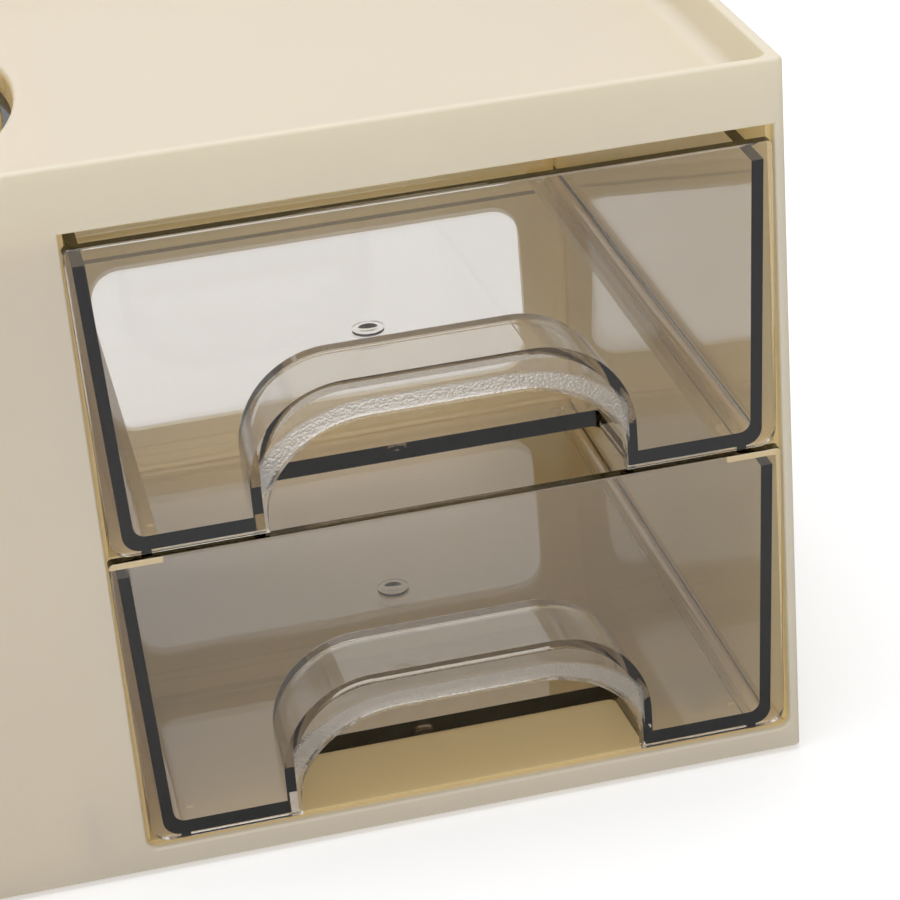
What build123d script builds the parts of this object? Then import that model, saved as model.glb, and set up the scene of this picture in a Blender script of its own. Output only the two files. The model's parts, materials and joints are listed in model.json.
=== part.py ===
from build123d import *
import math
import os

# A desk organizer: a cream case with a shallow tray on top, two see-through drawers at the right,
# a turning pen cup sunk in the middle, and a tape well with a cutter at the left.
# Millimetres. The origin is at the middle of the footprint, on the table. Front faces -Y, up is +Z.

# ---- Driving dimensions: case ----
bay_width = 110.0        # drawer opening in the front panel
bay_height = 108.3
sill_height = 3.75       # strip of front panel under the opening
floor_step = 0.6         # the base plate's top stands this far above the sill
case_depth = 133.4
tray_depth = 8.9         # rim above the tray floor
side_wall = 1.8          # upright walls of the case
roof_wall = 1.6          # tray floor
foot_height = 1.0        # how far the feet lift the case
case_corner = 1.2        # radius of the upright outer corners
rim_round = 0.6
tray_fillet = 3.0
opening_round = 0.5      # softened front edge of the drawer opening
opening_corner = 2.0     # bottom corners of the drawer opening
jamb = 0.8               # step behind the opening that stops the drawer's front plate
ledge_width = 9.0        # ledges that carry the upper drawer
ledge_thickness = 2.0
partition_wall = 1.8     # wall between the drawers and the pen cup
window_margin = 11.5     # rear windows, from the sides of the bay
window_height = 35.0
window_sill = 10.65      # rear window, above the surface that its drawer slides on
window_corner = 6.0
seam = 0.1               # gap between parts that are pushed together

# ---- Driving dimensions: drawers ----
plate_thickness = 2.0
plate_side_gap = 0.3     # beside the plate, at its top
plate_taper = 0.7        # each side of the plate leans in by this, top to bottom
plate_corner_low = 3.0
plate_corner_high = 0.8
plate_edge_round = 0.35
plate_gap = 0.7          # between the two plates
plate_top_gap = 2.5      # above the upper plate
tub_wall = 1.9
tub_floor = 2.4
tub_back_gap = 1.6       # between a closed tub and the case's rear wall
tub_inset_top = 1.5      # side walls, in from the plate's edge at the top
tub_draft = 2.0          # degrees, side and rear walls
tub_drop = 3.3           # walls end this far under the plate's top
tub_corner = 3.0
floor_lift = 0.2         # tub floor above the plate's bottom edge
plate_back_gap = 0.2     # between a closed plate and the jamb
runner_height = 0.6
runner_width = 1.6
runner_inset = 6.6       # runner, in from the side of the bay
runner_end_gap = 4.0     # runners stop short of the rear wall
slide_gap = 0.1          # runner above the surface that it slides on
stop_width = 1.2
stop_length = 2.0
stop_bite = 0.3          # by how much lug and bump overlap in height
stop_bump_height = 0.45
stop_bump_from_front = 8.0
gate_mark_radius = 2.9
gate_mark_height = 0.5
gate_mark_floor = 0.10   # thinnest part of the mark, at the middle of its dished top
gate_dish_radius = 4.2
gate_mark_from_front = 65.0

# ---- Driving dimensions: finger pocket of a drawer ----
pocket_half_width = 31.3   # outside of the arch, at the plate
pocket_rise = 23.5         # outside of the arch, above the plate's bottom edge
pocket_corner = 16.5
pocket_depth = 17.0        # inside, from the plate's front face
pocket_wall = 1.7
pocket_draft = 2.6         # degrees
pocket_back_round = 1.4
mouth_half_width = 29.0    # opening in the plate
mouth_rise = 17.0
mouth_bend_x = 18.0        # radii of the elliptical corners of the opening
mouth_bend_z = 14.5
quarter_turn = 90.0        # degrees

# ---- Driving dimensions: pen cup ----
cup_to_panel = 1.5         # between the round hole's collar and the front and rear panels
cup_gap = 0.4              # between the cup and the round hole in the tray
hole_to_bay = 0.5          # edge of the round hole to the side of the drawer bay
hole_round = 1.0
collar_depth = 4.2         # edge of the round hole, down from the tray floor
collar_wall = 1.4
cup_wall = 1.9
cup_floor = 2.2
cup_draft = 1.0            # degrees
cup_corner = 4.0
cup_below_collar = 0.2
cup_rest_gap = 0.1         # cup above the glide ring
pivot_radius = 6.0
pivot_fit = 0.05
hub_wall = 3.0
hub_height = 12.0
washer_radius = 8.6
washer_thickness = 1.0
glide_radius = 46.0
glide_width = 5.0
glide_height = 1.8
glide_seat = 0.6
divider_wall = 1.8
divider_tube_wall = 1.8
divider_clearance = 0.2
divider_drop = 5.0         # divider's outer ends, under the cup's rim
divider_dip = 9.0          # scoop in the top edge of each divider wall

# ---- Driving dimensions: tape ----
tape_width = 19.0
tape_radius = 32.0         # a full roll
core_inner_radius = 12.7
core_wall = 2.0
core_fit = 0.2             # hub inside the core
hub_flange_radius = 15.5
hub_flange = 1.0
hub_shell = 1.6
hub_web = 1.4
hub_tube_wall = 2.0
hub_holes = 6
hub_hole_radius = 2.2
hub_side_gap = 0.2         # hub flange beside the core
rail = 2.0                 # slotted rails that carry the axle
rail_side_gap = 0.4
rail_arm = 4.0             # rail material beside and below the slot
axle_radius = 3.0
axle_fit = 0.05
axle_flat = 2.5            # half the width across the axle's flats
axle_slot_gap = 0.1
tape_top_gap = 4.05        # between a full roll and the tray floor's underside
cheek_wall = 2.0
cheek_gap = 0.8            # cheek beside the round hole
tape_film = 0.25           # thickness drawn for a single layer of tape
tape_film_gap = 0.12

# ---- Driving dimensions: cutter ----
cutter_width = 24.0
cutter_notch_gap = 0.1
notch_depth = 12.0         # notch in the front rim, down from the top
skirt_height = 12.5        # the cutter's front skirt, in a recess of the panel
skirt_thickness = 0.8
leg_height = 14.0
leg_thickness = 2.0
cutter_reach = 15.0        # front to back of the cutter holder
cutter_cheek = 1.4
pad_drop = 4.55            # tape rest, under the top of the rim
pad_front = 6.9
pad_back = 12.5
blade_thickness = 0.5
blade_width = 20.6
blade_teeth = 16
blade_tooth_depth = 1.1
blade_low_in = 6.5         # lower edge of the blade, behind the case's front
blade_low_drop = 3.4       # and under the tape rest
blade_tip_in = 0.55        # tips of the teeth, behind the case's front
blade_tip_drop = 0.1
blade_slope_lip = 2.6      # holder's front edge, under the teeth
blade_slope_round = 0.65
cutter_cheek_rise = 2.6    # side cheeks, above the tape rest
cutter_cheek_round = 1.6
cutter_cheek_lean = 2.4
cutter_rear_step = 2.0
rivet_radius = 1.0
rivet_head_radius = 1.7
rivet_head = 0.6
rivet_spread = 12.0

# ---- Driving dimensions: base ----
base_plate = 2.0
screw_radius = 1.5
screw_clearance = 0.2
screw_head_radius = 2.9
screw_head = 1.5
screw_length = 11.0
lug_radius = 3.6
lug_height = 11.5
foot_radius = 7.0
foot_inset = 15.0

# ---- Derived places ----
hole_radius = case_depth / 2 - side_wall - cup_to_panel - collar_wall
cup_radius = hole_radius - cup_gap
tub_depth = case_depth - side_wall - tub_back_gap
hub_width = tape_width + 2 * hub_side_gap + 2 * hub_flange
channel_width = hub_width + 2 * rail_side_gap + 2 * rail
case_width = (side_wall + channel_width + cheek_wall + cheek_gap + 2 * hole_radius + hole_to_bay
              + bay_width + side_wall)
case_height = sill_height + bay_height + roof_wall + tray_depth

left = -case_width / 2
right = case_width / 2
front = -case_depth / 2
back = case_depth / 2
bottom = foot_height
top = bottom + case_height
sill_z = bottom + sill_height
floor_z = sill_z + floor_step             # top of the base plate, floor of the bay
roof_z = sill_z + bay_height              # underside of the tray floor
tray_z = roof_z + roof_wall
inner_front = front + side_wall
inner_back = back - side_wall

bay_right = right - side_wall
bay_left = bay_right - bay_width
bay_x = (bay_left + bay_right) / 2
jamb_y = front + plate_thickness + plate_back_gap
cup_x = bay_left - hole_to_bay - hole_radius
cheek_right = cup_x - hole_radius - cheek_gap
channel_right = cheek_right - cheek_wall
channel_left = left + side_wall
channel_x = (channel_left + channel_right) / 2
partition_right = bay_left + jamb
partition_left = partition_right - partition_wall

pad_height = case_height - pad_drop
blade_low = (blade_low_in, pad_height - blade_low_drop)
blade_high = (blade_tip_in, pad_height - blade_tip_drop)

plate_lift = runner_height + slide_gap - floor_lift
plate_height = (bay_height - floor_step - plate_lift - plate_gap - plate_top_gap) / 2
lower_z = floor_z + plate_lift                  # bottom edge of the lower front plate
upper_z = lower_z + plate_height + plate_gap
ledge_z = upper_z - plate_lift                  # top of the ledges
tub_height = plate_height - tub_drop - floor_lift
tub_top_half = bay_width / 2 - tub_inset_top
stop_x = bay_width / 2 - runner_inset - runner_width / 2 - 0.2 - stop_width / 2
stop_lug_height = runner_height + slide_gap + stop_bite - stop_bump_height
drawer_travel = tub_depth - runner_end_gap - stop_bump_from_front - 2 * stop_length - slide_gap

cup_z = floor_z + glide_height - glide_seat + cup_rest_gap
cup_top = tray_z - collar_depth - cup_below_collar
cup_height = cup_top - cup_z
pivot_top = cup_z + hub_height + slide_gap
axle_z = roof_z - tape_top_gap - tape_radius
axle_y = (inner_front + inner_back) / 2
slot_back = axle_y + tape_radius + rail_arm
foot_x = right - foot_inset
foot_y = back - foot_inset
lug_y = inner_back - lug_radius
lug_xs = (channel_left + 2 * lug_radius, cheek_right + 2 * lug_radius, partition_left - 2 * lug_radius)


# ---- Helpers ----
def block(x, y, z):
    """A box between the pairs x, y and z."""
    size = [high - low for low, high in (x, y, z)]
    middle = [(low + high) / 2 for low, high in (x, y, z)]
    return Pos(*middle) * Box(*size)


def drum(radius, z0, z1, x=0.0, y=0.0):
    """An upright cylinder between two heights."""
    return Pos(x, y, (z0 + z1) / 2) * Cylinder(radius, z1 - z0)


def across(radius, x0, x1, y, z):
    """A cylinder along X between two places."""
    return Pos((x0 + x1) / 2, y, z) * Rot(0, 90, 0) * Cylinder(radius, x1 - x0)


def facing(y):
    """A plane across Y whose own axes are X and Z."""
    return Plane(origin=(0, y, 0), x_dir=(1, 0, 0), z_dir=(0, -1, 0))


def side_on(x):
    """A plane across X whose own axes are Y and Z."""
    return Plane(origin=(x, 0, 0), x_dir=(0, 1, 0), z_dir=(1, 0, 0))


def rounded_rectangle(width, height, radius):
    return RectangleRounded(width, height, radius)


def rounded_bottom(solid, radius, z0):
    """Round the edges of a solid that lie in the plane at height z0."""
    low = solid.edges().filter_by(lambda edge: abs(edge.center().Z - z0) < 0.01 and edge.length > 1)
    return fillet(low, radius)


# ---- Case ----
def tray_recess():
    """The shallow tray on the roof, with soft inner corners."""
    recess = block((left + side_wall, right - side_wall), (inner_front, inner_back), (tray_z, top + 5))
    recess = fillet(recess.edges().filter_by(Axis.Z), tray_fillet)
    return rounded_bottom(recess, tray_fillet - 0.5, tray_z)


def bay_opening():
    """The drawer opening through the front panel, as deep as the drawer's plate."""
    face = Pos(bay_x, (sill_z + roof_z) / 2) * Rectangle(bay_width, bay_height)
    low = face.vertices().sort_by(Axis.Y)[:2]
    return extrude(facing(front - 1) * fillet(low, opening_corner), -(jamb_y - front + 1))


def rear_window(z0):
    """A rounded window through the rear wall, behind one drawer."""
    width = bay_width - 2 * window_margin
    face = Pos(bay_x, z0 + window_height / 2) * rounded_rectangle(width, window_height, window_corner)
    return extrude(facing(inner_back - 1) * face, -(side_wall + 2))


def collar():
    """The turned-down edge of the round hole, cut off beside the partition and the cheek."""
    z0 = tray_z - collar_depth
    ring = drum(hole_radius + collar_wall, z0, roof_z, cup_x) - drum(hole_radius, z0 - 1, roof_z + 1, cup_x)
    keep = block((cheek_right + seam, partition_left - seam), (front, back), (z0 - 1, roof_z))
    return ring & keep


def screw_lug(x, y):
    """A screw boss beside the wall, joined to it by a rib."""
    wall_y = inner_front if y < 0 else inner_back
    rib = block((x - 1, x + 1), sorted((y, wall_y)), (floor_z + seam, floor_z + lug_height))
    boss = drum(lug_radius, floor_z + seam, floor_z + lug_height, x, y)
    return boss + rib - drum(screw_radius, floor_z, floor_z + lug_height - 1, x, y)


def lug_places():
    return [(x, side * lug_y) for x in lug_xs for side in (-1, 1)]


def axle_rail(x0, x1):
    """A slotted rail on the side of the tape well; the axle drops into it from above."""
    half = axle_flat + axle_slot_gap
    body = block((x0, x1), (axle_y - half - rail_arm, axle_y + half + rail_arm),
                 (axle_z - axle_radius - rail_arm, roof_z))
    slot = block((x0 - 1, x1 + 1), (axle_y - half, axle_y + half),
                 (axle_z - axle_radius - slide_gap, roof_z + 1))
    return body - slot


def stop_bump(x, z):
    """A low bump that the lug under a drawer meets at full travel."""
    y0 = front + stop_bump_from_front
    half = stop_width / 2
    return block((x - half, x + half), (y0, y0 + stop_length), (z, z + stop_bump_height))


def case_shell():
    outer = block((left, right), (front, back), (bottom, top))
    outer = fillet(outer.edges().filter_by(Axis.Z), case_corner) - bay_opening()
    mouth_rim = outer.edges().filter_by(
        lambda edge: abs(edge.center().Y - front) < 0.01 and bottom + 1 < edge.center().Z < top - 1
        and edge.bounding_box().min.X > bay_left - 0.1)
    mouth_rim = mouth_rim.filter_by(lambda edge: edge.bounding_box().max.X < bay_right + 0.1)
    outer = fillet(mouth_rim, opening_round)
    room = block((left + side_wall, bay_right - jamb), (inner_front, inner_back), (bottom - 1, roof_z))
    room += block((bay_right - 2, bay_right), (inner_front, inner_back), (bottom - 1, floor_z))
    shell = outer - room - tray_recess()
    shell -= rear_window(floor_z + window_sill)
    shell -= rear_window(ledge_z + window_sill)
    shell -= drum(hole_radius, roof_z - 1, tray_z + 1, cup_x)
    shell -= block((channel_left, channel_right), (inner_front, slot_back),
                   (roof_z - 1, tray_z + tray_fillet))
    notch = cutter_width / 2 + cutter_notch_gap
    shell -= block((channel_x - notch, channel_x + notch), (front - 1, inner_front + 4),
                   (top - notch_depth, top + 1))
    shell -= block((channel_x - notch, channel_x + notch), (front - 1, front + skirt_thickness + seam),
                   (top - notch_depth - skirt_height, top))

    rim = shell.edges().filter_by(lambda edge: edge.center().Z > top - 0.01)
    shell = fillet(rim, rim_round)
    hole_edge = shell.edges().filter_by(GeomType.CIRCLE).filter_by(
        lambda edge: abs(edge.center().Z - tray_z) < 0.01 and abs(edge.radius - hole_radius) < 0.01)
    shell = fillet(hole_edge, hole_round)
    ledge = block((bay_right - ledge_width, bay_right - jamb + 0.1), (jamb_y, inner_back),
                  (ledge_z - ledge_thickness, ledge_z))
    shell += ledge + stop_bump(bay_x + stop_x, ledge_z)
    shell += collar()
    shell += axle_rail(channel_left - 0.1, channel_left + rail)
    for x, y in lug_places():
        shell += screw_lug(x, y)
    return shell


def base_frame():
    """The bottom plate with the partition, the tape well's cheek and the pen cup's pivot post."""
    plate = block((channel_left + seam, bay_right - jamb - seam), (inner_front + seam, inner_back - seam),
                  (floor_z - base_plate, floor_z))
    plate += block((bay_right - 2, bay_right - seam), (inner_front + seam, inner_back - seam),
                   (floor_z - base_plate, floor_z - seam))
    span = (jamb_y, inner_back - seam)
    partition = block((partition_left, partition_right), span, (floor_z, roof_z - seam))
    partition -= drum(hole_radius, floor_z, roof_z + 1, cup_x)
    ledge = block((partition_right - 0.1, bay_left + ledge_width), span,
                  (ledge_z - ledge_thickness, ledge_z))
    cheek = block((channel_right, cheek_right), (inner_front + seam, span[1]), (floor_z, roof_z - seam))
    rails = axle_rail(channel_right - rail, channel_right + 0.1) & block(
        (left, right), (front, back), (bottom, roof_z - seam))
    post = drum(pivot_radius, floor_z, pivot_top, cup_x)
    frame = plate + partition + ledge + cheek + rails + post
    frame += stop_bump(bay_x - stop_x, ledge_z)
    for side in (-1, 1):
        frame += stop_bump(bay_x + side * stop_x, floor_z)
    seat = drum(glide_radius + glide_width / 2 + seam, floor_z - glide_seat, floor_z + 1, cup_x)
    seat -= drum(glide_radius - glide_width / 2 - seam, floor_z - glide_seat, floor_z + 1, cup_x)
    frame -= seat
    frame -= drum(screw_radius, pivot_top - screw_length, pivot_top + 1, cup_x)
    for x, y in lug_places():
        frame -= drum(screw_radius + screw_clearance, bottom, floor_z + 1, x, y)
    return frame


def screw(x, y, z, up):
    """A pan-head screw whose head sits at height z; its shank points up or down."""
    shank_z = sorted((z, z + up * screw_length))
    head_z = sorted((z, z - up * screw_head))
    head = drum(screw_head_radius, head_z[0], head_z[1], x, y)
    rim = head.edges().filter_by(lambda edge: abs(edge.center().Z - (z - up * screw_head)) < 0.01)
    head = fillet(rim, screw_head / 2)
    cross = 1.0
    for turn in (0, 90):
        head -= Pos(x, y, z - up * screw_head) * Rot(0, 0, turn) * Box(2.6, 0.6, cross)
    return head + drum(screw_radius - 0.05, shank_z[0], shank_z[1], x, y)


def base_screws():
    return Compound([screw(x, y, floor_z - base_plate, 1) for x, y in lug_places()])


def foot(x, y):
    pad = drum(foot_radius, 0, floor_z - base_plate, x, y)
    low = pad.edges().filter_by(lambda edge: edge.center().Z < 0.01)
    return chamfer(low, 0.4)


# ---- Drawers ----
def drawer_plate():
    """The front plate: slightly narrower at the bottom, rounded low corners."""
    top_half = bay_width / 2 - plate_side_gap
    low_half = top_half - plate_taper
    outline = Polyline((-low_half, 0), (low_half, 0), (top_half, plate_height), (-top_half, plate_height),
                       close=True)
    face = make_face(outline)
    face = fillet(face.vertices().sort_by(Axis.Y)[2:], plate_corner_high)
    face = fillet(face.vertices().sort_by(Axis.Y)[:2], plate_corner_low)
    plate = extrude(facing(0) * face, -plate_thickness)
    rim = plate.edges().filter_by(lambda edge: abs(edge.center().Y) < 0.01)
    return fillet(rim, plate_edge_round)


def tub(half_top, y_back_top, z0, z1, lean, y0, radius):
    """A block with drafted sides and rear, rounded at its rear corners and along its bottom."""
    run = (z1 - z0) * math.tan(math.radians(lean))
    sections = []
    for z, shrink in ((z0, run), (z1, 0.0)):
        half = half_top - shrink
        depth = y_back_top - shrink - y0
        sections.append(Pos(0, y0 + depth / 2, z) * Rectangle(2 * half, depth))
    solid = loft(sections)
    uprights = solid.edges().filter_by(lambda edge: z0 + 1 < edge.center().Z < z1 - 1)
    rear = uprights.filter_by(lambda edge: edge.center().Y > y0 + 1)
    solid = fillet(rear, radius)
    low = solid.edges().filter_by(lambda edge: abs(edge.center().Z - z0) < 0.05)
    low = low.filter_by(lambda edge: edge.center().Y > y0 + 0.5)
    return fillet(low, radius * 0.95)


def arch(half, rise, radius, y):
    """The outline of the finger pocket at one depth, open feet down."""
    low = -2.0
    outline = Polyline((-half, low), (half, low), (half, rise), (-half, rise), close=True)
    face = make_face(outline)
    return facing(y) * fillet(face.vertices().sort_by(Axis.Y)[2:], radius)


def pocket_body(inset, y0, y1):
    """The pocket's outside (inset 0) or inside (inset of one wall), narrowing to the rear."""
    lean = math.tan(math.radians(pocket_draft))
    sections = []
    for y in (y0, y1):
        shrink = inset + y * lean
        sections.append(arch(pocket_half_width - shrink, pocket_rise - shrink, pocket_corner - shrink, y))
    solid = loft(sections)
    rear = solid.edges().filter_by(lambda edge: abs(edge.center().Y - y1) < 0.01 and edge.center().Z > 1)
    return fillet(rear, pocket_back_round)


def mouth():
    """The opening in the front plate: straight feet, elliptical corners and a flat top."""
    flat = mouth_half_width - mouth_bend_x
    bend_z = mouth_rise - mouth_bend_z
    radii = (mouth_bend_x, mouth_bend_z)
    right_bend = EllipticalCenterArc((flat, bend_z), *radii, start_angle=0, arc_size=quarter_turn)
    left_bend = EllipticalCenterArc((-flat, bend_z), *radii, start_angle=quarter_turn, arc_size=quarter_turn)
    rest = Polyline((-mouth_half_width, bend_z), (-mouth_half_width, -2), (mouth_half_width, -2),
                    (mouth_half_width, bend_z))
    flat_top = Line((flat, mouth_rise), (-flat, mouth_rise))
    face = make_face([right_bend, flat_top, left_bend, rest])
    return extrude(facing(-1) * face, -(plate_thickness + 1.05))


def drawer():
    """One drawer, moulded in one piece. Its own origin: plate's front face, bottom edge, middle."""
    z0 = floor_lift
    z1 = floor_lift + tub_height
    outer = tub(tub_top_half, tub_depth, z0, z1, tub_draft, plate_thickness - 0.5, tub_corner)
    inner = tub(tub_top_half - tub_wall, tub_depth - tub_wall, z0 + tub_floor, z1 + 1, tub_draft,
                plate_thickness, tub_corner - tub_wall / 2)
    body = outer - inner + drawer_plate()
    pocket = pocket_body(0, plate_thickness - 0.5, pocket_depth + pocket_wall)
    pocket &= block((-bay_width, bay_width), (-1, tub_depth), (z0, plate_height))
    body += pocket
    body -= pocket_body(pocket_wall, plate_thickness, pocket_depth)
    body -= mouth()
    runner_y = (plate_thickness, tub_depth - runner_end_gap)
    lug_y0 = runner_y[1] - stop_length
    for side in (-1, 1):
        x = side * (bay_width / 2 - runner_inset)
        body += block((x - runner_width / 2, x + runner_width / 2), runner_y, (z0 - runner_height, z0 + 0.5))
        x = side * stop_x
        body += block((x - stop_width / 2, x + stop_width / 2), (lug_y0, runner_y[1]),
                      (z0 - stop_lug_height, z0 + 0.5))
    mark_z = z0 + tub_floor
    mark = drum(gate_mark_radius, mark_z - 0.1, mark_z + gate_mark_height, 0, gate_mark_from_front)
    dish_z = mark_z + gate_dish_radius + gate_mark_floor
    mark -= Pos(0, gate_mark_from_front, dish_z) * Sphere(gate_dish_radius)
    return body + mark


def placed_drawer(z):
    return Pos(bay_x, front, z) * drawer()


# ---- Pen cup ----
def ring_profile(points):
    """A closed profile of (radius, height) points, turned round the cup's axis."""
    face = make_face(Polyline(*points, close=True))
    return revolve(Plane.XZ * face, Axis.Z)


def cup_inner_radius(z):
    """Radius inside the cup's wall, at a height above the cup's bottom."""
    return cup_radius - cup_wall - (cup_height - z) * math.tan(math.radians(cup_draft))


def pen_cup():
    outer_low = cup_radius - cup_height * math.tan(math.radians(cup_draft))
    bore = pivot_radius + pivot_fit
    outside = ring_profile([(0, 0), (outer_low, 0), (cup_radius, cup_height), (0, cup_height)])
    low = outside.edges().filter_by(lambda edge: edge.center().Z < 0.01)
    outside = fillet(low, cup_corner)
    rim_inside = cup_radius - cup_wall
    inside = ring_profile([(0, cup_floor), (cup_inner_radius(cup_floor), cup_floor),
                           (rim_inside, cup_height), (rim_inside, cup_height + 1), (0, cup_height + 1)])
    low = inside.edges().filter_by(lambda edge: abs(edge.center().Z - cup_floor) < 0.01)
    inside = fillet(low, cup_corner - cup_wall)
    cup = outside - inside + drum(bore + hub_wall, 0.0, hub_height)
    cup -= drum(bore, -1, hub_height + 1)
    rim = cup.edges().filter_by(GeomType.CIRCLE).filter_by(lambda edge: edge.center().Z > cup_height - 0.01)
    return Pos(cup_x, 0, cup_z) * fillet(rim, 0.3)


def divider_tube_radius():
    return pivot_radius + pivot_fit + hub_wall + divider_clearance


def divider_wall_solid():
    """One upright wall from the centre tube out to the cup, with a scooped top edge."""
    low_z = cup_floor + seam
    high_z = cup_height - divider_drop
    start = divider_tube_radius() + divider_tube_wall / 2
    ends = [cup_inner_radius(z) - divider_clearance for z in (low_z, high_z)]
    foot_cut = cup_corner - cup_wall + divider_clearance
    scoop = ThreePointArc((ends[1], high_z), ((start + ends[1]) / 2, high_z - divider_dip), (start, high_z))
    rest = Polyline((start, high_z), (start, low_z), (ends[0] - foot_cut, low_z),
                    (ends[0], low_z + foot_cut), (ends[1], high_z))
    return extrude(Plane.XZ * make_face([scoop, rest]), divider_wall / 2, both=True)


def cup_divider():
    """A centre tube over the pivot with three walls, which leave one half and two quarters."""
    inner = divider_tube_radius()
    outer = inner + divider_tube_wall
    high_z = cup_height - divider_drop
    tube = drum(outer, cup_floor + seam, high_z)
    tube = fillet(tube.edges().filter_by(lambda edge: edge.center().Z > high_z - 0.01), 2.0)
    for turn in (90, 180, 270):
        tube += Rot(0, 0, turn) * divider_wall_solid()
    tube -= drum(inner, cup_floor, high_z - divider_tube_wall)
    return Pos(cup_x, 0, cup_z) * tube


def glide_ring():
    """A low-friction ring in the base plate that the cup turns on."""
    half = glide_width / 2
    ring = drum(glide_radius + half, 0, glide_height) - drum(glide_radius - half, -1, glide_height + 1)
    return Pos(cup_x, 0, floor_z - glide_seat) * ring


def pivot_washer():
    z0 = pivot_top
    washer = drum(washer_radius, z0, z0 + washer_thickness, cup_x)
    return washer - drum(screw_radius, z0 - 1, z0 + washer_thickness + 1, cup_x)


def pivot_screw():
    return screw(cup_x, 0, pivot_top + washer_thickness, -1)


# ---- Tape ----
def tape_axle():
    """A pin with flats at both ends, which keep it from turning in the slotted rails."""
    end = channel_width / 2 - hub_side_gap
    body = across(axle_radius, channel_x - end, channel_x + end, axle_y, axle_z)
    for side in (-1, 1):
        x = sorted((channel_x + side * (hub_width / 2 + rail_side_gap / 2), channel_x + side * (end + 1)))
        for y_side in (-1, 1):
            y = sorted((axle_y + y_side * axle_flat, axle_y + y_side * (axle_radius + 1)))
            body -= block(x, y, (axle_z - 5, axle_z + 5))
    return body


def tape_hub(side):
    """One half of the spool: flange, drum that fills the core, web with holes and centre tube."""
    outer = core_inner_radius - core_fit
    end = hub_width / 2
    bore = axle_radius + axle_fit
    half = across(hub_flange_radius, end - hub_flange, end, 0, 0)
    half += across(outer, 0, end, 0, 0)
    half -= across(outer - hub_shell, -1, end - hub_flange - hub_web, 0, 0)
    half -= across(outer - hub_shell, end - hub_flange, end + 1, 0, 0)
    half += across(bore + hub_tube_wall, 0, end, 0, 0)
    half -= across(bore, -1, end + 1, 0, 0)
    ring = (bore + hub_tube_wall + outer - hub_shell) / 2
    for index in range(hub_holes):
        angle = 2 * math.pi * index / hub_holes
        half -= across(hub_hole_radius * 0.7, end - 5, end, ring * math.cos(angle), ring * math.sin(angle))
    return Pos(channel_x, axle_y, axle_z) * Rot(0, 0, 0 if side > 0 else 180) * half


def tape_ring(inner, outer):
    half = tape_width / 2
    ring = across(outer, channel_x - half, channel_x + half, axle_y, axle_z)
    return ring - across(inner, channel_x - half - 1, channel_x + half + 1, axle_y, axle_z)


def tape_core():
    return tape_ring(core_inner_radius, core_inner_radius + core_wall)


def tape_roll():
    return tape_ring(core_inner_radius + core_wall, tape_radius)


def tangent_point(y, z, radius):
    """Where a straight line from (y, z) touches the top of a circle round the axle."""
    dy = y - axle_y
    dz = z - axle_z
    reach = math.hypot(dy, dz)
    angle = math.atan2(dz, dy) - math.acos(radius / reach)
    return axle_y + radius * math.cos(angle), axle_z + radius * math.sin(angle)


def tape_tail():
    """The free end of the tape, from the roll over the tape rest to the blade."""
    lift = tape_film / 2 + tape_film_gap
    rest_z = bottom + pad_height + lift
    rest_y = front + pad_back
    start = tangent_point(rest_y, rest_z, tape_radius + lift)
    tip = (front + blade_high[0] - 0.1, bottom + blade_high[1] + blade_thickness + lift)
    line = Polyline(start, (rest_y, rest_z), (front + pad_front, rest_z), tip)
    film = trace(line, line_width=tape_film)
    return extrude(side_on(channel_x - tape_width / 2) * film, tape_width)


# ---- Cutter ----
def case_point(behind_front, above_bottom):
    return front + behind_front, bottom + above_bottom


def cutter_profile():
    """Side outline of the cutter holder: skirt, blade slope, tape rest, rear and leg."""
    notch_z = case_height - notch_depth
    panel = skirt_thickness + seam
    leg_y = side_wall + seam
    return Polyline(
        case_point(0.0, notch_z - skirt_height + seam),
        case_point(0.0, blade_high[1] - blade_slope_lip),
        case_point(2 * blade_slope_round, blade_high[1] - blade_slope_round),
        case_point(*blade_low),
        case_point(pad_front, pad_height), case_point(pad_back, pad_height),
        case_point(cutter_reach, notch_z + cutter_rear_step), case_point(cutter_reach, notch_z),
        case_point(leg_y + leg_thickness, notch_z), case_point(leg_y + leg_thickness, notch_z - leg_height),
        case_point(leg_y, notch_z - leg_height), case_point(leg_y, notch_z), case_point(panel, notch_z),
        case_point(panel - seam, notch_z - skirt_height + seam), close=True)


def cutter_holder():
    half = cutter_width / 2
    body = extrude(side_on(channel_x - half) * make_face(cutter_profile()), cutter_width)
    low = case_height - notch_depth
    high = pad_height + cutter_cheek_rise
    cheek = Polyline(case_point(0.0, low), case_point(0.0, blade_high[1]),
                     case_point(cutter_cheek_lean, high), case_point(pad_back, high),
                     case_point(cutter_reach, low), close=True)
    face = make_face(cheek)
    face = fillet(face.vertices().sort_by(Axis.Y)[-2:], cutter_cheek_round)
    for x in (channel_x - half, channel_x + half - cutter_cheek):
        body += extrude(side_on(x) * face, cutter_cheek)
    return body


def blade_frame():
    """A plane on the blade's slope: its X along the cutter, its Y up the slope, at the lower edge."""
    low = Vector(0, *case_point(*blade_low))
    high = Vector(0, *case_point(*blade_high))
    slope = (high - low).normalized()
    x_dir = Vector(1, 0, 0)
    return Plane(origin=(channel_x, low.Y, low.Z), x_dir=x_dir, z_dir=x_dir.cross(slope))


def blade_length():
    return math.dist(blade_low, blade_high)


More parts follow.
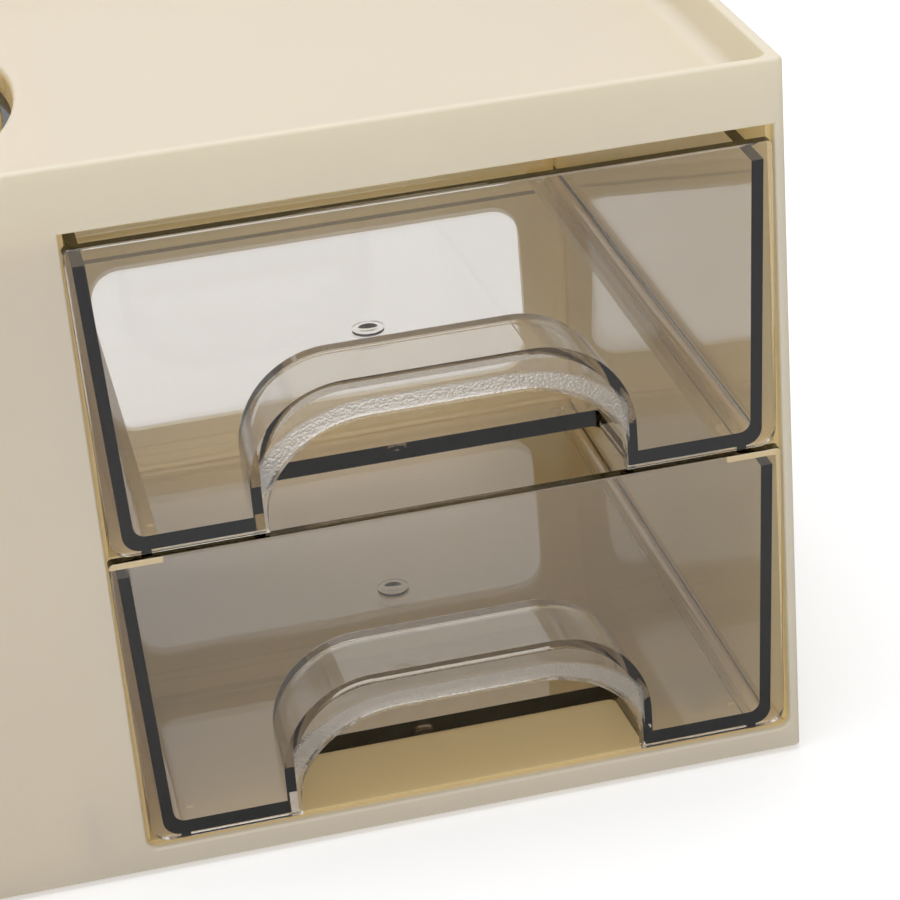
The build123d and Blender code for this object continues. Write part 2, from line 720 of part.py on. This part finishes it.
def cutter_blade():
    """A thin steel blade with a row of pointed teeth along its upper edge."""
    half = blade_width / 2
    root = blade_length() - blade_tooth_depth
    pitch = blade_width / blade_teeth
    points = [(half, root), (half, 0.2), (-half, 0.2), (-half, root)]
    for index in range(blade_teeth):
        x = -half + index * pitch
        points.append((x + pitch / 2, root + blade_tooth_depth))
        if index < blade_teeth - 1:
            points.append((x + pitch, root))
    plane = blade_frame()
    blade = extrude(plane * make_face(Polyline(*points, close=True)), -blade_thickness)
    if (blade.center() - plane.origin).Z < 0:
        blade = extrude(plane * make_face(Polyline(*points, close=True)), blade_thickness)
    for x in (-rivet_spread / 2, rivet_spread / 2):
        hole = plane * Pos(x, blade_length() * 0.42, 0) * Cylinder(rivet_radius, 4)
        blade -= hole
    return blade


def blade_rivets():
    """Two domed studs that hold the blade on its slope."""
    plane = blade_frame()
    up = 1 if plane.z_dir.Z > 0 else -1
    studs = []
    for x in (-rivet_spread / 2, rivet_spread / 2):
        place = plane * Pos(x, blade_length() * 0.42, 0)
        shank_length = blade_thickness + 0.1
        shank = place * Pos(0, 0, up * shank_length / 2) * Cylinder(rivet_radius - 0.05, shank_length)
        head_middle = blade_thickness + 0.05 + rivet_head / 2
        head = place * Pos(0, 0, up * head_middle) * Cylinder(rivet_head_radius, rivet_head)
        studs.append(shank + head)
    return Compound(studs)


# ---- Write the parts ----
nodes = {
    "case_shell": case_shell,
    "base_frame": base_frame,
    "base_screws": base_screws,
    "upper_drawer": lambda: placed_drawer(upper_z),
    "lower_drawer": lambda: placed_drawer(lower_z),
    "pen_cup": pen_cup,
    "cup_divider": cup_divider,
    "glide_ring": glide_ring,
    "pivot_washer": pivot_washer,
    "pivot_screw": pivot_screw,
    "tape_axle": tape_axle,
    "tape_hub_left": lambda: tape_hub(-1),
    "tape_hub_right": lambda: tape_hub(1),
    "tape_core": tape_core,
    "tape_roll": tape_roll,
    "tape_tail": tape_tail,
    "cutter_holder": cutter_holder,
    "cutter_blade": cutter_blade,
    "blade_rivets": blade_rivets,
}
foot_places = {
    "foot_front_left": (-foot_x, -foot_y),
    "foot_front_middle": (cup_x + hole_radius / 2, -foot_y),
    "foot_front_right": (foot_x, -foot_y),
    "foot_rear_left": (-foot_x, foot_y),
    "foot_rear_middle": (cup_x + hole_radius / 2, foot_y),
    "foot_rear_right": (foot_x, foot_y),
}

os.makedirs("parts", exist_ok=True)
for name, make in nodes.items():
    export_step(make(), f"parts/{name}.step")
for name, (x, y) in foot_places.items():
    export_step(foot(x, y), f"parts/{name}.step")
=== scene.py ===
import json
import math

import bpy
from mathutils import Euler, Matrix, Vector


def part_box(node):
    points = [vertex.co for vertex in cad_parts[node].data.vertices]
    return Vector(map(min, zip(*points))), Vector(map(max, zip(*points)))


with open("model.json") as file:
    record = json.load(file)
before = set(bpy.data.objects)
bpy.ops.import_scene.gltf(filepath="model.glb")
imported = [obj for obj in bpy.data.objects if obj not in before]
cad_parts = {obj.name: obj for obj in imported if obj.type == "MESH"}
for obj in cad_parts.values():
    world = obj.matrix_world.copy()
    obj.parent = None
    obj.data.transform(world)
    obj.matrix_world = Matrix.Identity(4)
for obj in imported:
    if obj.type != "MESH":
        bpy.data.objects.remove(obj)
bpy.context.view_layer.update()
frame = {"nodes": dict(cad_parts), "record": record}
scene = bpy.context.scene

# ---- Named values, in metres unless they say otherwise ----
MM = 0.001

camera_place = (1.45 * MM, -460.8 * MM, 268.2 * MM)
camera_turn = (63.356, 4.350, -13.070)    # degrees about X, Y and Z
camera_lens = 114.79                      # millimetres, for a picture 36 mm wide

outer_skin = (0.8 * MM, 1.6 * MM)         # depth at which a case wall turns from outside to inside, where its painted warm glow begins
roof_skin = (0.4 * MM, 1.2 * MM)          # the same in the tray floor, up from the base's top
through_colour = (0.90, 0.80, 0.55, 1.0)  # of the light that comes through the case's walls

plastic_sheet = 2.0 * MM                  # an ordinary wall of the clear plastic
sheet_passes = (0.935, 0.925, 0.912)      # share of red, green and blue that such a wall lets through
lamp_passes = (0.985, 0.980, 0.975, 1.0)  # share of the lamps' light that one of its faces lets through
plastic_ior = 1.54
wave_depth = 0.25 * MM                    # slow waves that moulding leaves in the clear plastic

runner_drop = 0.4 * MM                    # the drawer's lowest point, under its front plate
mouth_flat = 11.0 * MM                    # finger opening: half of its flat top
mouth_foot = 2.5 * MM                     # its straight feet
mouth_bend = (18.0 * MM, 14.5 * MM)       # radii of its corners
pocket_inside = 29.5 * MM                 # from its middle to the pocket's side walls
plate_skin = (0.5 * MM, 1.0 * MM)         # depth at which the grip ends, behind the plate's front
grip_starts = (1.03, 1.06)                # stippled band, as multiples of the opening's size
grip_ends = (1.20, 1.25)
grip_grain = 0.5 * MM
grip_depth = 0.12 * MM
grip_roughness = 0.3
grip_milkiness = 0.15                     # share of light that the stipple scatters

floor_size = 6.0
floor_shade = 0.72
floor_glow = 0.42                         # keeps the floor white to the eye, under its shadow
floor_glow_through = 0.12                 # and in reflections and through clear plastic
world_light = 0.42                        # strength of the soft light from all round
white_world = 1.0                         # and of the white that shows behind the object
overhead_power = 23.5                     # watts
front_power = 9.0


# ---- Node helpers ----
def new_material(name):
    material = bpy.data.materials.new(name)
    material.use_nodes = True
    tree = material.node_tree
    tree.nodes.clear()
    output = tree.nodes.new("ShaderNodeOutputMaterial")
    return material, tree, output


def add(tree, kind, **values):
    """A node with its sockets set by name."""
    node = tree.nodes.new(kind)
    for name, value in values.items():
        node.inputs[name.replace("_", " ")].default_value = value
    return node


def principled(tree, output, **values):
    shader = add(tree, "ShaderNodeBsdfPrincipled", **values)
    tree.links.new(shader.outputs["BSDF"], output.inputs["Surface"])
    return shader


def object_place(tree):
    """The place on the object, in metres."""
    return tree.nodes.new("ShaderNodeTexCoord").outputs["Object"]


def noise(tree, scale, detail=3.0):
    texture = add(tree, "ShaderNodeTexNoise", Scale=scale, Detail=detail)
    tree.links.new(object_place(tree), texture.inputs["Vector"])
    return texture.outputs["Fac"]


def ramp(tree, source, low, high, from_low=0.3, from_high=0.7):
    """Spread a factor between two values or two colours."""
    node = tree.nodes.new("ShaderNodeMapRange")
    limits = {"From Min": from_low, "From Max": from_high, "To Min": low, "To Max": high}
    for name, value in limits.items():
        node.inputs[name].default_value = value
    tree.links.new(source, node.inputs["Value"])
    return node.outputs["Result"]


def math_node(tree, operation, first, second=None):
    """A maths node on sockets or plain numbers, for one or two inputs."""
    node = tree.nodes.new("ShaderNodeMath")
    node.operation = operation
    for index, value in enumerate((first, second)):
        if value is None:
            continue
        if isinstance(value, (int, float)):
            node.inputs[index].default_value = value
        else:
            tree.links.new(value, node.inputs[index])
    return node.outputs[0]


def colour_ramp(tree, source, stops):
    node = tree.nodes.new("ShaderNodeValToRGB")
    while len(node.color_ramp.elements) < len(stops):
        node.color_ramp.elements.new(0.5)
    for element, (place, colour) in zip(node.color_ramp.elements, stops):
        element.position = place
        element.color = (*colour, 1.0)
    tree.links.new(source, node.inputs["Fac"])
    return node.outputs["Color"]


def bump(tree, height, shader, strength, distance):
    node = add(tree, "ShaderNodeBump", Strength=strength, Distance=distance)
    tree.links.new(height, node.inputs["Height"])
    tree.links.new(node.outputs["Normal"], shader.inputs["Normal"])


# ---- Materials ----
def moulded_plastic(name, colour, roughness, grain=900.0, depth=0.02 * MM, shade=0.03):
    """Moulded plastic: faint cloudiness in the colour, a fine grain and uneven gloss."""
    material, tree, output = new_material(name)
    shader = principled(tree, output, Roughness=roughness, IOR=1.5)
    clouds = noise(tree, 14.0, 4.0)
    darker = tuple(channel * (1.0 - shade) for channel in colour)
    lighter = tuple(min(1.0, channel * (1.0 + shade * 0.6)) for channel in colour)
    tree.links.new(colour_ramp(tree, clouds, ((0.3, darker), (0.7, lighter))), shader.inputs["Base Color"])
    gloss = noise(tree, 60.0, 3.0)
    tree.links.new(ramp(tree, gloss, roughness - 0.04, roughness + 0.04), shader.inputs["Roughness"])
    bump(tree, noise(tree, grain, 2.0), shader, 0.25, depth)
    return material


def coordinates(tree):
    """X, Y and Z of the place on the object, in metres."""
    parts = tree.nodes.new("ShaderNodeSeparateXYZ")
    tree.links.new(object_place(tree), parts.inputs["Vector"])
    return parts.outputs["X"], parts.outputs["Y"], parts.outputs["Z"]


def through_or_mirrored(tree):
    """1 for what is seen in reflections and through clear plastic."""
    path = tree.nodes.new("ShaderNodeLightPath")
    return math_node(tree, "MAXIMUM", path.outputs["Is Glossy Ray"], path.outputs["Is Transmission Ray"])


def to_the_camera(tree):
    """1 for what the camera sees with nothing between."""
    return tree.nodes.new("ShaderNodeLightPath").outputs["Is Camera Ray"]


def product(tree, factors):
    result = factors[0]
    for factor in factors[1:]:
        result = math_node(tree, "MULTIPLY", result, factor)
    return result


def cream_plastic(name, colour, painted_glow_colour, through, roughness):
    """The case's plastic. Light comes through its thin walls, and its inner faces get a warmer painted
    colour that stands in for the light glowing inside the case.
    """
    material = moulded_plastic(name, colour, roughness)
    tree = material.node_tree
    shader = next(node for node in tree.nodes if node.type == "BSDF_PRINCIPLED")
    output = next(node for node in tree.nodes if node.type == "OUTPUT_MATERIAL")
    outside = shader.inputs["Base Color"].links[0].from_socket
    case_low, case_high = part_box("case_shell")
    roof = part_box("base_frame")[1][2]
    x, y, z = coordinates(tree)
    # The case's inner faces: their base colour turns to the painted warm glow, a stand-in for light
    # bouncing inside the case.
    inside = []
    for place, low, high in ((x, case_low[0], case_high[0]), (y, case_low[1], case_high[1])):
        away = math_node(tree, "ABSOLUTE", math_node(tree, "SUBTRACT", place, (low + high) / 2))
        half = (high - low) / 2
        inside.append(ramp(tree, away, 1.0, 0.0, half - outer_skin[1], half - outer_skin[0]))
    inside.append(ramp(tree, z, 1.0, 0.0, roof + roof_skin[0], roof + roof_skin[1]))
    mix = tree.nodes.new("ShaderNodeMix")
    mix.data_type = "RGBA"
    factor, outer, painted_glow = mix.inputs[0], mix.inputs[6], mix.inputs[7]
    painted_glow.default_value = (*painted_glow_colour, 1.0)
    tree.links.new(product(tree, inside), factor)
    tree.links.new(outside, outer)
    tree.links.new(mix.outputs[2], shader.inputs["Base Color"])
    passing = add(tree, "ShaderNodeBsdfTranslucent", Color=through_colour)
    blend = tree.nodes.new("ShaderNodeMixShader")
    blend.inputs["Fac"].default_value = through
    tree.links.new(shader.outputs["BSDF"], blend.inputs[1])
    tree.links.new(passing.outputs["BSDF"], blend.inputs[2])
    tree.links.new(blend.outputs["Shader"], output.inputs["Surface"])
    return material


def clear_plastic(name, passes):
    """Clear plastic that swallows a little light along the way through it.

    passes is the share of red, green and blue light that an ordinary wall lets through.
    Shadows fall through it lightly, so that the lamps reach what is inside.
    """
    material, tree, output = new_material(name)
    shader = principled(tree, output, Roughness=0.0, IOR=plastic_ior, Transmission_Weight=1.0)
    shader.inputs["Base Color"].default_value = (1.0, 1.0, 1.0, 1.0)
    passing = add(tree, "ShaderNodeBsdfTransparent", Color=lamp_passes)
    path = tree.nodes.new("ShaderNodeLightPath")
    mix = tree.nodes.new("ShaderNodeMixShader")
    tree.links.new(path.outputs["Is Shadow Ray"], mix.inputs["Fac"])
    tree.links.new(shader.outputs["BSDF"], mix.inputs[1])
    tree.links.new(passing.outputs["BSDF"], mix.inputs[2])
    tree.links.new(mix.outputs["Shader"], output.inputs["Surface"])
    losses = [-math.log(share) / plastic_sheet for share in passes]
    density = max(losses) / 0.9
    absorption = tree.nodes.new("ShaderNodeVolumeAbsorption")
    absorption.inputs["Color"].default_value = (*[1.0 - loss / density for loss in losses], 1.0)
    absorption.inputs["Density"].default_value = density
    tree.links.new(absorption.outputs["Volume"], output.inputs["Volume"])
    waves = noise(tree, 40.0, 1.0)
    node = add(tree, "ShaderNodeBump", Strength=0.12, Distance=wave_depth)
    tree.links.new(waves, node.inputs["Height"])
    tree.links.new(node.outputs["Normal"], shader.inputs["Normal"])
    return material, tree, shader, node


def drawer_plastic(name, node_name, passes):
    """The drawers' clear plastic, with a stippled grip on the lip over the finger pocket."""
    material, tree, shader, waves = clear_plastic(name, passes)
    low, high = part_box(node_name)
    x, y, z = coordinates(tree)
    side = math_node(tree, "ABSOLUTE", math_node(tree, "SUBTRACT", x, (low[0] + high[0]) / 2))
    bend = math_node(tree, "MAXIMUM", math_node(tree, "SUBTRACT", side, mouth_flat), 0.0)
    bend = math_node(tree, "POWER", math_node(tree, "DIVIDE", bend, mouth_bend[0]), 2.0)
    rise = math_node(tree, "SUBTRACT", z, low[2] + runner_drop + mouth_foot)
    rise = math_node(tree, "MAXIMUM", rise, 0.0)
    rise = math_node(tree, "POWER", math_node(tree, "DIVIDE", rise, mouth_bend[1]), 2.0)
    ring = math_node(tree, "SQRT", math_node(tree, "ADD", bend, rise))
    zone = product(tree, [
        ramp(tree, ring, 0.0, 1.0, *grip_starts),
        ramp(tree, ring, 1.0, 0.0, *grip_ends),
        ramp(tree, side, 1.0, 0.0, pocket_inside, pocket_inside + 0.1 * MM),
        ramp(tree, y, 1.0, 0.0, low[1] + plate_skin[0], low[1] + plate_skin[1]),
    ])
    tree.links.new(math_node(tree, "MULTIPLY", zone, grip_roughness), shader.inputs["Roughness"])
    clearness = ramp(tree, zone, 1.0, 1.0 - grip_milkiness, 0.0, 1.0)
    tree.links.new(clearness, shader.inputs["Transmission Weight"])
    stipple = add(tree, "ShaderNodeTexVoronoi", Scale=1.0 / grip_grain)
    tree.links.new(object_place(tree), stipple.inputs["Vector"])
    height = math_node(tree, "MULTIPLY", zone, stipple.outputs["Distance"])
    grip = add(tree, "ShaderNodeBump", Strength=0.9, Distance=grip_depth)
    tree.links.new(height, grip.inputs["Height"])
    tree.links.new(waves.outputs["Normal"], grip.inputs["Normal"])
    tree.links.new(grip.outputs["Normal"], shader.inputs["Normal"])
    return material


def steel(name, colour, roughness):
    """Stamped steel with fine brushing along the strip."""
    material, tree, output = new_material(name)
    shader = principled(tree, output, Roughness=roughness, Metallic=1.0)
    shader.inputs["Base Color"].default_value = (*colour, 1.0)
    texture = add(tree, "ShaderNodeTexNoise", Scale=900.0, Detail=4.0)
    mapping = add(tree, "ShaderNodeMapping", Scale=(0.05, 1.0, 1.0))
    tree.links.new(object_place(tree), mapping.inputs["Vector"])
    tree.links.new(mapping.outputs["Vector"], texture.inputs["Vector"])
    tree.links.new(ramp(tree, texture.outputs["Fac"], roughness - 0.08, roughness + 0.12),
                   shader.inputs["Roughness"])
    bump(tree, texture.outputs["Fac"], shader, 0.2, 0.01 * MM)
    return material


def rubber(name, colour):
    """Dull rubber with a fine speckle."""
    material, tree, output = new_material(name)
    shader = principled(tree, output, Roughness=0.75)
    speckle = noise(tree, 500.0, 3.0)
    lighter = tuple(channel * 1.5 for channel in colour)
    speckled = colour_ramp(tree, speckle, ((0.3, colour), (0.75, lighter)))
    tree.links.new(speckled, shader.inputs["Base Color"])
    bump(tree, speckle, shader, 0.5, 0.05 * MM)
    return material


def wound_tape(name, colour):
    """Many wound layers of clear film: rings on the sides, a glossy outside."""
    material, tree, output = new_material(name)
    shader = principled(tree, output, Roughness=0.22, IOR=1.47, Transmission_Weight=0.35)
    low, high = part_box("tape_roll")
    centre = (Vector(low) + Vector(high)) / 2
    mapping = add(tree, "ShaderNodeMapping", Location=(0.0, -centre.y, -centre.z), Scale=(0.0, 1.0, 1.0))
    tree.links.new(object_place(tree), mapping.inputs["Vector"])
    rings = tree.nodes.new("ShaderNodeTexWave")
    rings.wave_type = "RINGS"
    rings.rings_direction = "SPHERICAL"
    rings.inputs["Scale"].default_value = 380.0
    rings.inputs["Distortion"].default_value = 0.6
    tree.links.new(mapping.outputs["Vector"], rings.inputs["Vector"])
    darker = tuple(channel * 0.82 for channel in colour)
    tree.links.new(colour_ramp(tree, rings.outputs["Fac"], ((0.2, darker), (0.8, colour))),
                   shader.inputs["Base Color"])
    bump(tree, rings.outputs["Fac"], shader, 0.15, 0.02 * MM)
    return material


# The second colour is the painted warm glow on the case's inner faces.
cream = cream_plastic("cream_plastic", (0.81, 0.785, 0.715), (0.95, 0.79, 0.46), 0.36, 0.42)
smoked = clear_plastic("smoked_plastic", sheet_passes)[0]
drawer_looks = {name: drawer_plastic(name + "_plastic", name, sheet_passes)
                for name in ("upper_drawer", "lower_drawer")}
white = moulded_plastic("white_plastic", (0.80, 0.80, 0.77), 0.35)
dark = moulded_plastic("dark_plastic", (0.035, 0.035, 0.037), 0.38)
board = moulded_plastic("core_board", (0.62, 0.52, 0.38), 0.8, 500.0, 0.05 * MM, 0.1)
film = wound_tape("tape_film", (0.80, 0.76, 0.62))
blade_steel = steel("blade_steel", (0.62, 0.62, 0.63), 0.25)
screw_steel = steel("screw_steel", (0.55, 0.55, 0.56), 0.3)
feet_rubber = rubber("feet_rubber", (0.03, 0.03, 0.03))

looks = {
    "case": cream,
    "smoked_clear": smoked,
    "white_plastic": white,
    "dark_plastic": dark,
    "core_board": board,
    "tape": film,
    "blade_steel": blade_steel,
    "screws": screw_steel,
    "feet": feet_rubber,
}


# ---- The object's pieces: the CAD's shapes with finished materials ----
slots = {entry["node"]: entry["material_slot"] for entry in frame["record"]["subparts"]}
for name, obj in frame["nodes"].items():
    material = drawer_looks.get(name) or looks[slots[name]]
    obj.data.materials.clear()
    obj.data.materials.append(material)

# ---- Floor, light and camera ----
bpy.ops.mesh.primitive_plane_add(size=floor_size, location=(0, 0, 0))
floor = bpy.context.object
floor.name = "floor"
floor_material, tree, output = new_material("pale_floor")
diffuse = add(tree, "ShaderNodeBsdfDiffuse", Color=(floor_shade, floor_shade, floor_shade, 1.0))
glow = add(tree, "ShaderNodeEmission", Color=(1.0, 1.0, 1.0, 1.0))
direct = math_node(tree, "MULTIPLY", to_the_camera(tree), floor_glow)
indirect = math_node(tree, "MULTIPLY", through_or_mirrored(tree), floor_glow_through)
tree.links.new(math_node(tree, "ADD", direct, indirect), glow.inputs["Strength"])
both = tree.nodes.new("ShaderNodeAddShader")
tree.links.new(diffuse.outputs[0], both.inputs[0])
tree.links.new(glow.outputs[0], both.inputs[1])
tree.links.new(both.outputs[0], output.inputs["Surface"])
floor.data.materials.append(floor_material)

world = bpy.data.worlds.new("studio")
scene.world = world
world.use_nodes = True
tree = world.node_tree
tree.nodes.clear()
output = tree.nodes.new("ShaderNodeOutputWorld")
soft = add(tree, "ShaderNodeBackground", Color=(1.0, 1.0, 1.0, 1.0), Strength=world_light)
plain = add(tree, "ShaderNodeBackground", Color=(1.0, 1.0, 1.0, 1.0), Strength=white_world)
mix = tree.nodes.new("ShaderNodeMixShader")
shown = math_node(tree, "MAXIMUM", to_the_camera(tree), through_or_mirrored(tree))
tree.links.new(shown, mix.inputs["Fac"])
tree.links.new(soft.outputs[0], mix.inputs[1])
tree.links.new(plain.outputs[0], mix.inputs[2])
tree.links.new(mix.outputs[0], output.inputs["Surface"])


def area_light(name, place, aim, size, power):
    data = bpy.data.lights.new(name, "AREA")
    data.shape = "RECTANGLE"
    data.size, data.size_y = size
    data.energy = power
    light = bpy.data.objects.new(name, data)
    scene.collection.objects.link(light)
    light.location = place
    light.rotation_euler = (Vector(aim) - Vector(place)).to_track_quat("-Z", "Y").to_euler()
    return light


area_light("overhead_softbox", (-0.3, 0.2, 1.6), (0.0, 0.0, 0.1), (1.6, 1.6), overhead_power)
area_light("front_softbox", (0.0, -1.8, 0.9), (0.05, 0.0, 0.05), (1.4, 1.0), front_power)

camera_data = bpy.data.cameras.new("camera")
camera_data.lens = camera_lens
camera_data.sensor_width = 36.0
camera_data.clip_start = 0.01
camera = bpy.data.objects.new("camera", camera_data)
scene.collection.objects.link(camera)
camera.location = camera_place
camera.rotation_euler = Euler([math.radians(angle) for angle in camera_turn], "XYZ")
scene.camera = camera

scene.view_settings.view_transform = "Standard"
# Enough bounces for light to cross the walls of both drawers and to glow in the case.
scene.cycles.max_bounces = 24
scene.cycles.transmission_bounces = 24
scene.cycles.glossy_bounces = 12
scene.cycles.diffuse_bounces = 6
